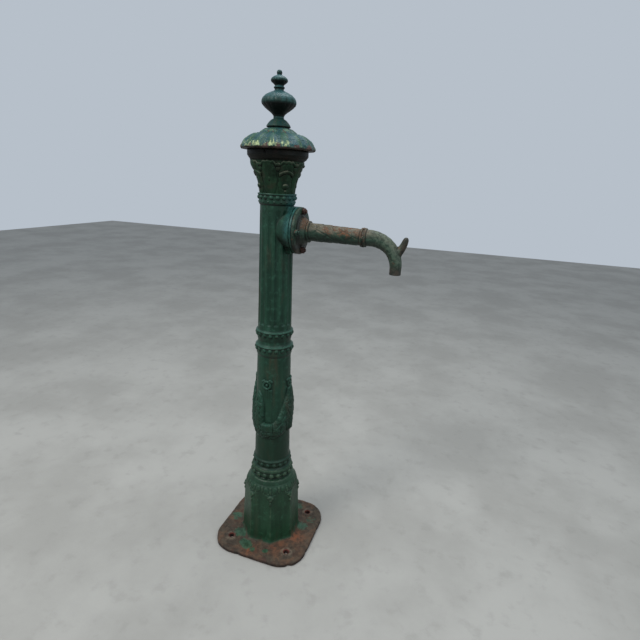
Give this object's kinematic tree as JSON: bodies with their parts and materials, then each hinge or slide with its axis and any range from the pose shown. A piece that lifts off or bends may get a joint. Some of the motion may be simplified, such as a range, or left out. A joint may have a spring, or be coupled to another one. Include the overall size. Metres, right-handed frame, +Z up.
{
  "type": "hand well pump",
  "caption": "Ornate cast iron column well pump on an octagonal foot, with a flanged side spout, domed cap and finial, a hand lever at the back and a lift pump inside.",
  "frame": {"origin": "centre of the four holding-down holes, on the foot plate's underside", "axes": "+Z up along the column; +X the way the spout points; the hand lever is on the +Y side"},
  "size_m": [0.6157, 0.362, 1.668],
  "materials": {
    "column_iron": "dark green oil paint, weathered and rust-stained, satin",
    "capital_iron": "dark green oil paint gone almost black, satin",
    "cap_iron": "blue-green paint, chalked, with pale flakes and rust at the rim",
    "spout_iron": "green paint worn to olive and rust",
    "lever_iron": "dark green oil paint worn bare at the ball",
    "bare_iron": "unpainted oiled cast iron",
    "steel": "dull oiled steel",
    "rusty_steel": "rusted steel",
    "brass": "aged brass",
    "leather": "oiled hide leather"
  },
  "bodies": {
    "stand": {"pedestal": "column_iron", "lower_column": "column_iron", "upper_column": "column_iron", "capital": "capital_iron", "cap": "cap_iron", "finial": "cap_iron", "spout": "spout_iron", "column_bolts": "steel", "valve_seat": "brass", "seat_gasket": "leather", "suction_pipe": "steel", "pipe_socket": "steel", "flap_pin": "brass", "pump_barrel": "brass", "column_nipple": "steel", "spout_gasket": "leather", "spout_bolts": "rusty_steel", "spout_nuts": "rusty_steel", "rod_guide": "steel", "guide_bush": "brass", "guide_screws": "steel", "capital_bolts": "steel", "near_shaft_bush": "brass", "far_shaft_bush": "brass", "cap_set_screws": "rusty_steel", "finial_stud": "steel", "finial_nut": "steel"},
    "lever": {"rocker_shaft": "steel", "rocker_arm": "bare_iron", "arm_pin": "steel", "lever": "lever_iron", "lever_key": "steel", "lever_washer": "rusty_steel", "lever_nut": "rusty_steel"},
    "rod": {"crosshead": "steel", "crosshead_pin": "steel", "pin_collars": "steel", "rod_lock_nut": "steel", "pump_rod": "steel", "piston_lock_nut": "brass", "piston_body": "brass", "piston_leather": "leather", "piston_follower": "brass"},
    "piston_valve": {"piston_valve": "brass"},
    "foot_valve": {"foot_valve_flap": "leather", "flap_weight": "brass"}
  },
  "joints": [
    {"name": "lever_swing", "type": "hinge", "parent": "stand", "child": "lever", "pos_m": [-0.05, 0, 1.395], "axis": [0, 1, 0], "range_deg": [0, 70]},
    {"name": "rod_slide", "type": "slide", "parent": "stand", "child": "rod", "axis": [0, 0, 1], "range_m": [-0.068, 0]},
    {"name": "piston_valve_lift", "type": "slide", "parent": "rod", "child": "piston_valve", "axis": [0, 0, 1], "range_m": [0, 0.008]},
    {"name": "foot_valve_swing", "type": "hinge", "parent": "stand", "child": "foot_valve", "pos_m": [-0.0305, 0, 0.32], "axis": [0, -1, 0], "range_deg": [0, 50]}
  ],
  "couplings": [
    {"joint": "rod_slide", "follows": "lever_swing", "m_per_rad": -0.0553}
  ]
}
